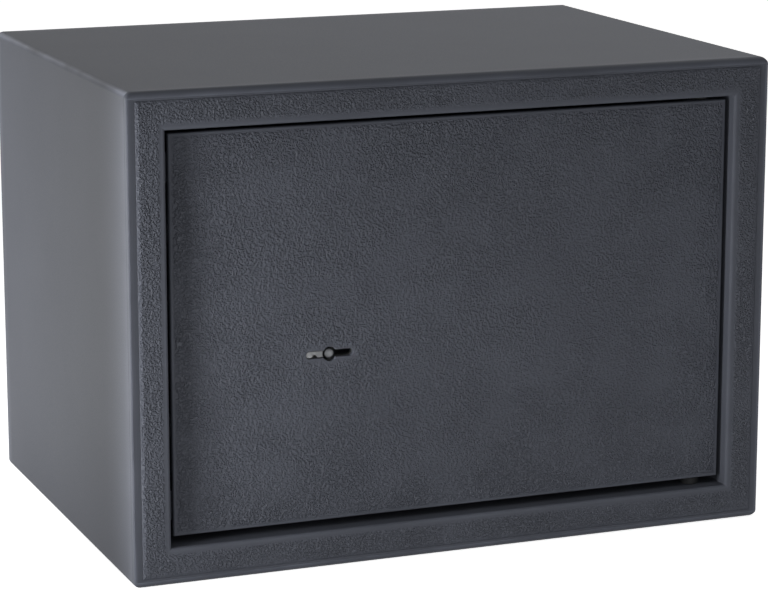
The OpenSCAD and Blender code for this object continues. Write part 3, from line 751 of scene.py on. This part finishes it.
def metal_material(name, dark, pale, rough, streaks, depth, metallic=1.0):
    """A metal or a smooth finish with clouds, fine marks drawn out by the streaks' three
    scales, and brighter, smoother edges."""
    material, tree, shader, place = new_finish(name)
    spread = ranged(tree, cloudy(tree, place, Scale=70, Detail=4, Roughness=0.6), 0.3, 0.7)
    drawn = add_node(tree, "Mapping", place, Scale=streaks).outputs[0]
    marks = cloudy(tree, drawn, Scale=1, Detail=3, Roughness=0.65)
    edges = add_node(tree, "Attribute", attribute_name="edge").outputs["Fac"]
    worn_metal = [min(1, c * 1.3) for c in pale[:3]] + [1]
    colour = blend(tree, spread, dark, pale)
    half_worn = product(tree, edges, spread)
    feed(tree, shader, "Base Color", blend(tree, half_worn, colour, worn_metal))
    sheen = ranged(tree, marks, 0.3, 0.7, To_Min=rough - 0.07, To_Max=rough + 0.08)
    feed(tree, shader, "Roughness", sheen)
    feed(tree, shader, "Normal", bumped(tree, marks, depth))
    shader.inputs["Metallic"].default_value = metallic
    shader.inputs["Specular IOR Level"].default_value = 0.5 if metallic else 0.15
    return material


black_steel = metal_material("black_steel", (0.02, 0.02, 0.022, 1), (0.05, 0.05, 0.052, 1), 0.42,
                             (500, 500, 2500), 0.01 * MM, 0.7)
# Darker than black nylon: partly its own black, partly painted shade for the gap it sits in.
black_nylon = metal_material("black_nylon", (0.004, 0.0043, 0.005, 1),
                             (0.007, 0.0073, 0.008, 1), 0.6, (900, 900, 900), 0.01 * MM, 0)
pin_r = 2.5 * MM
head_r = (pins_high.x - pins_low.x) / 2
head_t = 2 * MM
shape = bmesh.new()
for low, high in loose_boxes("hinge_pins"):
    up = 1 if low.z > mid_z else -1
    tip, head = (low.z, high.z) if up > 0 else (high.z, low.z)
    turned(shape, (hinge_x, hinge_y, 0), "z", [
        (tip, pin_r - 0.6 * MM), (tip + up * 0.15 * MM, pin_r - 0.35 * MM),
        (tip + up * 0.6 * MM, pin_r), (head - up * head_t, pin_r), (head - up * head_t, head_r),
        (head - up * 0.5 * MM, head_r), (head - up * 0.2 * MM, head_r - 0.12 * MM),
        (head - up * 0.04 * MM, head_r - 0.5 * MM), (head, head_r - 1.1 * MM),
        (head, 1.1 * MM), (head - up * 0.35 * MM, 0.6 * MM), (head - up * 0.7 * MM, 0)])
pins = mesh_piece("hinge_pin_pair", shape)
fit_on(pins, black_steel, "black_steel", "cabinet", "hinge_pins")

shape = bmesh.new()
for low, high in loose_boxes("hinge_washers"):
    r = (high.x - low.x) / 2
    lead = 0.3 * MM
    turned(shape, (hinge_x, hinge_y, 0), "z", [
        (low.z, hinge_bore_r + lead), (low.z, r - lead), (low.z + lead, r), (high.z - lead, r),
        (high.z, r - lead), (high.z, hinge_bore_r + lead), (high.z - lead, hinge_bore_r),
        (low.z + lead, hinge_bore_r)], ring=True)
washers = mesh_piece("hinge_washer_pair", shape)
fit_on(washers, black_nylon, "black_nylon", "cabinet", "hinge_washers")

# ---- The door ----
# A flat steel plate with softly rounded front edges, let in behind the face. The double keyhole
# is punched through before the powder coat, which rounds its rim. The grain thins out along
# the plate's edges.

door_low, door_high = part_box("door_plate")
key_pin_low, key_pin_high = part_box("key_pin")
door_edge_r = 1.2 * MM
key_x = (key_pin_low.x + key_pin_high.x) / 2
key_z = (key_pin_low.z + key_pin_high.z) / 2
keyhole_half = 12.75 * MM
keyhole_arm = 1.95 * MM
keyhole_hub = 3.75 * MM
grain_from = 1.6 * MM
grain_full = 3.2 * MM


def graded(low, high, edge_steps, step):
    """Places from low to high, close together at the two edges."""
    steps = round((high - low - 2 * edge_steps[-1]) / step)
    inner_low, inner_high = low + edge_steps[-1], high - edge_steps[-1]
    places = [low + e for e in edge_steps]
    places += [inner_low + (inner_high - inner_low) * k / steps for k in range(1, steps)]
    return places + [high - e for e in reversed(edge_steps)]


def round_edge_depth(away, radius):
    """How far a rounded edge falls back at that distance from the plate's side."""
    if away >= radius:
        return 0
    return radius - math.sqrt(max(radius * radius - (radius - away) ** 2, 0))


def rounded_plate(name, low, high, front_r, back_r, edge_steps, step):
    """An upright plate with round front and back edges, as two grids joined round the side."""
    shape = bmesh.new()
    edge_layer = shape.verts.layers.float.new("edge")
    grain = shape.verts.layers.float.new("grain")
    xs = graded(low.x, high.x, edge_steps, step)
    zs = graded(low.z, high.z, edge_steps, step)
    rim_of = {}
    for side in ("front", "back"):
        radius = front_r if side == "front" else back_r
        grid = []
        for z in zs:
            row = []
            for x in xs:
                away = min(x - low.x, high.x - x, z - low.z, high.z - z)
                fall = round_edge_depth(away, radius)
                y = low.y + fall if side == "front" else high.y - fall
                v = shape.verts.new((x, y, z))
                # Paler paint along the front's round edge: partly wear, partly a painted highlight.
                v[edge_layer] = max(0, 0.5 - abs(away - radius * 0.6) / radius) if side == "front" else 0
                v[grain] = min(max((away - grain_from) / (grain_full - grain_from), 0), 1)
                row.append(v)
            grid.append(row)
        for j in range(len(zs) - 1):
            for i in range(len(xs) - 1):
                shape.faces.new((grid[j][i], grid[j][i + 1], grid[j + 1][i + 1], grid[j + 1][i]))
        rim_of[side] = (grid[0] + [r[-1] for r in grid[1:]] + grid[-1][-2::-1]
                        + [r[0] for r in grid[-2:0:-1]])
    skin(shape, [rim_of["front"], rim_of["back"]])
    return mesh_piece(name, shape)


def keyhole_points(grow):
    """The keyhole's outline, grown by that much, round the key's axis."""
    arm = keyhole_arm + grow
    hub = keyhole_hub + grow
    end_x = keyhole_half - keyhole_arm
    meet = math.asin(arm / hub)
    points = []
    for sign in (1, -1):
        for k in range(13):
            a = -math.pi / 2 + math.pi * k / 12
            points.append((sign * (end_x + arm * math.cos(a)), sign * arm * math.sin(a)))
        for k in range(17):
            a = meet + (math.pi - 2 * meet) * k / 16
            points.append((sign * hub * math.cos(a), sign * hub * math.sin(a)))
    return points


def keyhole_cutter(profile):
    """A cutter for the keyhole. Its profile lists (depth, growth) from front to back."""
    shape = bmesh.new()
    rows = []
    for y, grow in profile:
        rows.append([shape.verts.new((key_x + x, y, key_z + z)) for x, z in keyhole_points(grow)])
    skin(shape, rows)
    shape.faces.new(rows[0])
    shape.faces.new(rows[-1])
    return mesh_piece("cutter", shape)


flat_edge = 4 * MM
flat_keyhole_r = 16 * MM


def away_from_door_edges(p):
    from_keyhole = math.hypot(p.x - key_x, p.z - key_z) - flat_keyhole_r
    return min(p.x - door_low.x, door_high.x - p.x, p.z - door_low.z, door_high.z - p.z,
               from_keyhole) - flat_edge


door_edge_steps = [e * MM for e in (0, 0.06, 0.18, 0.36, 0.6, 0.9, 1.2, 1.6, 2.4, 3.2, 5)]
door = rounded_plate("door_panel", door_low, door_high, door_edge_r, back_r=0.3 * MM,
                     edge_steps=door_edge_steps, step=8 * MM)
face_unevenness(door, amount=0.14 * MM, edge_free=away_from_door_edges)
rim_r = 0.3 * MM
front_y = door_low.y
cut_away(door, keyhole_cutter([(front_y - 1 * MM, rim_r), (front_y, rim_r),
                               (front_y + 0.3 * rim_r, 0.3 * rim_r), (front_y + rim_r, 0),
                               (door_high.y + 1 * MM, 0)]))
fit_on(door, paint, "textured_paint", "door", "door_plate")

# ---- The hinge lugs ----
# Two bored plates welded flat behind the door's top and bottom edge, with a bead along the side
# that faces the middle of the door. Painted with the door.

shape = soft_copy("hinge_lugs", 0.3 * MM)
for low, high in loose_boxes("hinge_lugs"):
    bead_y = door_high.y + 0.1 * MM
    bead_z = low.z - 0.1 * MM if low.z > mid_z else high.z + 0.1 * MM
    weld_bead(shape, Vector((low.x + 1 * MM, bead_y, bead_z)),
              Vector((high.x - 1 * MM, bead_y, bead_z)), bead_r)
lugs = mesh_piece("hinge_lug_pair", shape)
fit_on(lugs, paint, "textured_paint", "door", "hinge_lugs")

# ---- The studs and their nuts ----
# Zinc plated M5 studs welded to the back of the door, with rolled threads, and hexagon nuts of
# the same finish with chamfered corners.

zinc = metal_material("zinc_plate", (0.40, 0.42, 0.45, 1), (0.56, 0.56, 0.54, 1), 0.36,
                      (900, 900, 260), 0.012 * MM)
thread_pitch = 0.8 * MM
thread_depth = 0.42 * MM
door_back_y = door_high.y
shape = bmesh.new()
for low, high in loose_boxes("weld_studs"):
    r = (high.x - low.x) / 2
    stud_rows = [(door_back_y - 0.1 * MM, r)]
    turns = (high.y - 0.7 * MM - door_back_y - 0.3 * MM) / thread_pitch
    for k in range(int(turns * 6) + 1):
        y = door_back_y + 0.3 * MM + k * thread_pitch / 6

        def thread_radius(a, y=y, r=r):
            phase = (y / thread_pitch - a / (2 * math.pi)) % 1
            return r - thread_depth * abs(2 * phase - 1)
        stud_rows.append((y, thread_radius))
    stud_rows += [(high.y - 0.5 * MM, r - 0.45 * MM), (high.y, r - 0.8 * MM)]
    turned(shape, ((low.x + high.x) / 2, 0, (low.z + high.z) / 2), "y", stud_rows, 24)
studs = mesh_piece("threaded_studs", shape)
fit_on(studs, zinc, "zinc_plate", "door", "weld_studs")


def hexagon_radius(across_flats):
    """The radius of a hexagon at each angle, with corners at 0, 60, 120 degrees and so on."""
    return lambda a: across_flats / 2 / math.cos(a % (math.pi / 3) - math.pi / 6)


def hexagon_nut(shape, low, high, bore_r):
    flats = high.z - low.z
    corner = hexagon_radius(flats)
    start_r = flats / 2 - 0.15 * MM
    lead = 0.35 * MM

    def chamfer(a):
        return (corner(a) - start_r) * math.tan(math.radians(30))

    turned(shape, ((low.x + high.x) / 2, 0, (low.z + high.z) / 2), "y", [
        (low.y + lead, bore_r), (low.y, bore_r + lead), (low.y, start_r),
        (lambda a: low.y + chamfer(a), corner), (lambda a: high.y - chamfer(a), corner),
        (high.y, start_r), (high.y, bore_r + lead), (high.y - lead, bore_r)], 60, ring=True)


nut_bore_r = 2.55 * MM
for node, name in (("lock_fixing_nuts", "lock_nuts"), ("rear_cover_nuts", "cover_nuts")):
    shape = bmesh.new()
    for low, high in loose_boxes(node):
        hexagon_nut(shape, low, high, nut_bore_r)
    nuts = mesh_piece(name, shape)
    fit_on(nuts, zinc, "zinc_plate", "door", node, sharp_above=25)

# ---- The bolt guide ----
# A channel folded from 2 mm zinc plated sheet, welded to the door. Both walls are bored for the
# two bolts, and the right one has a slot for the tongue.

channel_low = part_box("bolt_guide")[0]


def channel_folds(a, b):
    return all(abs(p.y - channel_low.y) < 1e-5 for p in (a, b)) and abs(a.z - b.z) > 50 * MM


def fit_copy(name, node, width, finish, slot, body, *folds):
    """A softened copy of a CAD piece in its place. Folds are a radius and a test for them."""
    fit_on(mesh_piece(name, soft_copy(node, width, *folds)), finish, slot, body, node)


fit_copy("bolt_channel", "bolt_guide", 0.2 * MM, zinc, "zinc_plate", "door", 1.6 * MM,
         channel_folds)

# ---- The bolts and their bar ----
# Two turned steel bolts with chamfered noses, bored from behind and held on an upright zinc
# plated bar by socket head screws. The bar carries them to the left when the key throws the lock.

turned_steel = metal_material("turned_steel", (0.40, 0.41, 0.42, 1), (0.58, 0.59, 0.60, 1), 0.27,
                              (3500, 60, 60), 0.008 * MM)
bright_steel = metal_material("bright_steel", (0.36, 0.37, 0.39, 1), (0.52, 0.53, 0.55, 1), 0.33,
                              (500, 1500, 500), 0.01 * MM)
screw_shank_r = 3 * MM
bolt_bore = 14 * MM
shape = bmesh.new()
for low, high in loose_boxes("locking_bolts"):
    r = (high.y - low.y) / 2
    nose = 1.5 * MM
    groove_x = high.x - 9 * MM
    turned(shape, (0, (low.y + high.y) / 2, (low.z + high.z) / 2), "x", [
        (low.x + 0.5 * MM, 0), (low.x + 0.5 * MM, 1.1 * MM), (low.x, 1.5 * MM),
        (low.x, r - nose - 0.2 * MM), (low.x + 0.1 * MM, r - nose),
        (low.x + nose - 0.1 * MM, r - 0.12 * MM), (low.x + nose + 0.2 * MM, r),
        (groove_x - 0.5 * MM, r), (groove_x - 0.2 * MM, r - 0.3 * MM),
        (groove_x + 0.2 * MM, r - 0.3 * MM), (groove_x + 0.5 * MM, r),
        (high.x - 0.4 * MM, r), (high.x, r - 0.4 * MM), (high.x, screw_shank_r + 0.3 * MM),
        (high.x - 0.3 * MM, screw_shank_r), (high.x - bolt_bore, screw_shank_r),
        (high.x - bolt_bore, 0)], 72)
bolts = mesh_piece("round_bolts", shape)
fit_on(bolts, turned_steel, "bright_steel", "bolt_work", "locking_bolts")

fit_copy("bolt_carrier", "bolt_bar", 0.35 * MM, zinc, "zinc_plate", "bolt_work")

screw_head_t = 3.5 * MM
socket_flats = 4 * MM
shape = bmesh.new()
for low, high in loose_boxes("bolt_bar_screws"):
    r = (high.y - low.y) / 2
    head_x = high.x - screw_head_t
    socket = hexagon_radius(socket_flats)

    def knurled(a, r=r):
        return r - 0.16 * MM * abs(math.sin(a * 18))

    turned(shape, (0, (low.y + high.y) / 2, (low.z + high.z) / 2), "x", [
        (low.x, screw_shank_r - 0.5 * MM), (low.x + 0.5 * MM, screw_shank_r),
        (head_x, screw_shank_r), (head_x, r - 0.3 * MM), (head_x + 0.2 * MM, knurled),
        (high.x - 0.7 * MM, knurled), (high.x - 0.5 * MM, r - 0.2 * MM), (high.x, r - 0.7 * MM),
        (high.x, lambda a: socket(a) + 0.15 * MM), (high.x - 0.15 * MM, socket),
        (high.x - 1.7 * MM, socket), (high.x - 2.2 * MM, 0)], 144)
bar_screws = mesh_piece("socket_screws", shape)
fit_on(bar_screws, bright_steel, "bright_steel", "bolt_work", "bolt_bar_screws")

# ---- The lock ----
# A zinc plated case on the back of the door, held on four studs by its ears, and closed by a flat
# cover with four slotted screws. A plated guide inside it fills the left arm of the keyhole,
# and the key turns on the round-ended pin in the keyhole's centre.

fit_copy("lock_box", "lock_case", 0.25 * MM, zinc, "zinc_plate", "door")
fit_copy("lock_lid", "lock_cover", 0.3 * MM, zinc, "zinc_plate", "door")
fit_copy("slotted_screws", "lock_cover_screws", 0.2 * MM, bright_steel, "bright_steel", "door")

# Darker than plated zinc: partly a dark dull finish, partly painted shade for the keyhole it sits
# behind.
guide_plate = metal_material("guide_plate", (0.035, 0.037, 0.04, 1), (0.15, 0.152, 0.156, 1), 0.5,
                             (900, 700, 900), 0.05 * MM)
fit_copy("keyhole_guide", "key_guide", 0.18 * MM, guide_plate, "zinc_plate", "door")

# The key pin is darkened the same way: partly dark steel, partly painted shade in the keyhole.
pin_steel = metal_material("pin_steel", (0.06, 0.063, 0.068, 1), (0.17, 0.173, 0.18, 1), 0.5,
                           (800, 800, 800), 0.04 * MM)
key_pin_r = (key_pin_high.x - key_pin_low.x) / 2
lid_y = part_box("lock_cover")[0].y
tail_r = 2 * MM
nose_t = 1.1 * MM
shape = bmesh.new()
pin_rows = []
for a in quarter_turn(8):
    y = key_pin_low.y + nose_t * (1 - math.cos(a))
    pin_rows.append((y, key_pin_r * math.sin(a) ** 0.8))
pin_rows += [(lid_y, key_pin_r), (lid_y, tail_r), (key_pin_high.y - 0.2 * MM, tail_r),
             (key_pin_high.y, tail_r - 0.2 * MM)]
turned(shape, (key_x, 0, key_z), "y", pin_rows)
key_pin = mesh_piece("key_post", shape)
fit_on(key_pin, pin_steel, "bright_steel", "door", "key_pin")

# ---- The tongue ----
# A flat steel slide that the key's bit drives. Its tenon is pinned in the bolts' bar, a rivet in
# the case keeps it level, and its stump passes through the levers' gates.

fit_copy("sliding_tongue", "lock_tongue", 0.18 * MM, bright_steel, "bright_steel", "bolt_work")


def plain_pin(node, name, body):
    """A pin from front to back with chamfered ends, in the place of a CAD pin."""
    shape = bmesh.new()
    low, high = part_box(node)
    r = (high.x - low.x) / 2
    lead = 0.3 * MM
    turned(shape, ((low.x + high.x) / 2, 0, (low.z + high.z) / 2), "y", [
        (low.y, r - lead), (low.y + 0.1 * MM, r - 0.5 * lead), (low.y + lead, r),
        (high.y - lead, r), (high.y - 0.1 * MM, r - 0.5 * lead), (high.y, r - lead)])
    pin = mesh_piece(name, shape)
    fit_on(pin, bright_steel, "bright_steel", body, node)


plain_pin("tongue_pin", "tongue_cross_pin", "bolt_work")
plain_pin("tongue_guide_post", "tongue_rivet", "door")
plain_pin("lever_post", "lever_pivot", "door")

# ---- The levers and their springs ----
# Six stamped brass levers on one steel post, each with its own gate and its own bent wire
# spring, which bears against the top of the case.

brass = metal_material("lever_brass", (0.55, 0.38, 0.15, 1), (0.74, 0.55, 0.24, 1), 0.32,
                       (160, 900, 1600), 0.012 * MM)
lever_bodies = ("first_lever", "second_lever", "third_lever", "fourth_lever", "fifth_lever",
                "sixth_lever")
for k, lever_body in enumerate(lever_bodies, 1):
    fit_copy(f"brass_lever_{k}", f"lever_{k}", 0.12 * MM, brass, "lever_brass", lever_body)


def wire(shape, points, radius):
    """Adds a round wire through points that lie in one upright plane from left to right."""
    stations = []
    for k, p in enumerate(points):
        way = (points[min(k + 1, len(points) - 1)] - points[max(k - 1, 0)]).normalized()
        stations.append((p, Vector((-way.z, 0, way.x)), Vector((0, 1, 0)), radius))
    closed_rod(shape, stations)


wire_r = 0.3 * MM
foot_w = 2 * MM
shape = bmesh.new()
for low, high in loose_boxes("lever_springs"):
    y = (low.y + high.y) / 2
    foot = Vector((high.x - foot_w, y, low.z + wire_r))
    end = Vector((low.x + 0.8 * MM, y, high.z - wire_r))
    path = [Vector((high.x - wire_r, y, low.z + wire_r)), Vector((high.x - 1.2 * MM, y, foot.z))]
    for k in range(13):
        share = k / 12
        bow = 0.12 * MM * math.sin(math.pi * share)
        path.append(foot.lerp(end, share) + Vector((0, 0, bow)))
    path.append(Vector((low.x + wire_r, y, end.z - 0.25 * MM)))
    wire(shape, path, wire_r)
springs = mesh_piece("lever_wire_springs", shape)
fit_on(springs, bright_steel, "bright_steel", "door", "lever_springs")

# ---- The rear cover ----
# A tray folded from 1 mm sheet over the lock and the bolt work, with flanges held by six nuts.
# Smooth satin black paint.

cover_low, cover_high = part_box("rear_cover")
tray_top = cover_high.z - 10 * MM
tray_bottom = cover_low.z + 10 * MM
tray_right = cover_high.x - 10 * MM


def tray_folds(a, b):
    """The tray's outer folds, along its back face."""
    if any(abs(p.y - cover_high.y) > 1e-5 for p in (a, b)):
        return False
    return (all(abs(p.z - tray_top) < 1e-5 for p in (a, b))
            or all(abs(p.z - tray_bottom) < 1e-5 for p in (a, b))
            or all(abs(p.x - tray_right) < 1e-5 for p in (a, b)))


black_paint = metal_material("cover_paint", (0.026, 0.026, 0.028, 1), (0.038, 0.038, 0.041, 1), 0.4,
                             (700, 700, 700), 0.03 * MM, 0)
fit_copy("cover_tray", "rear_cover", 0.12 * MM, black_paint, "cover_paint", "door", 1.3 * MM,
         tray_folds)
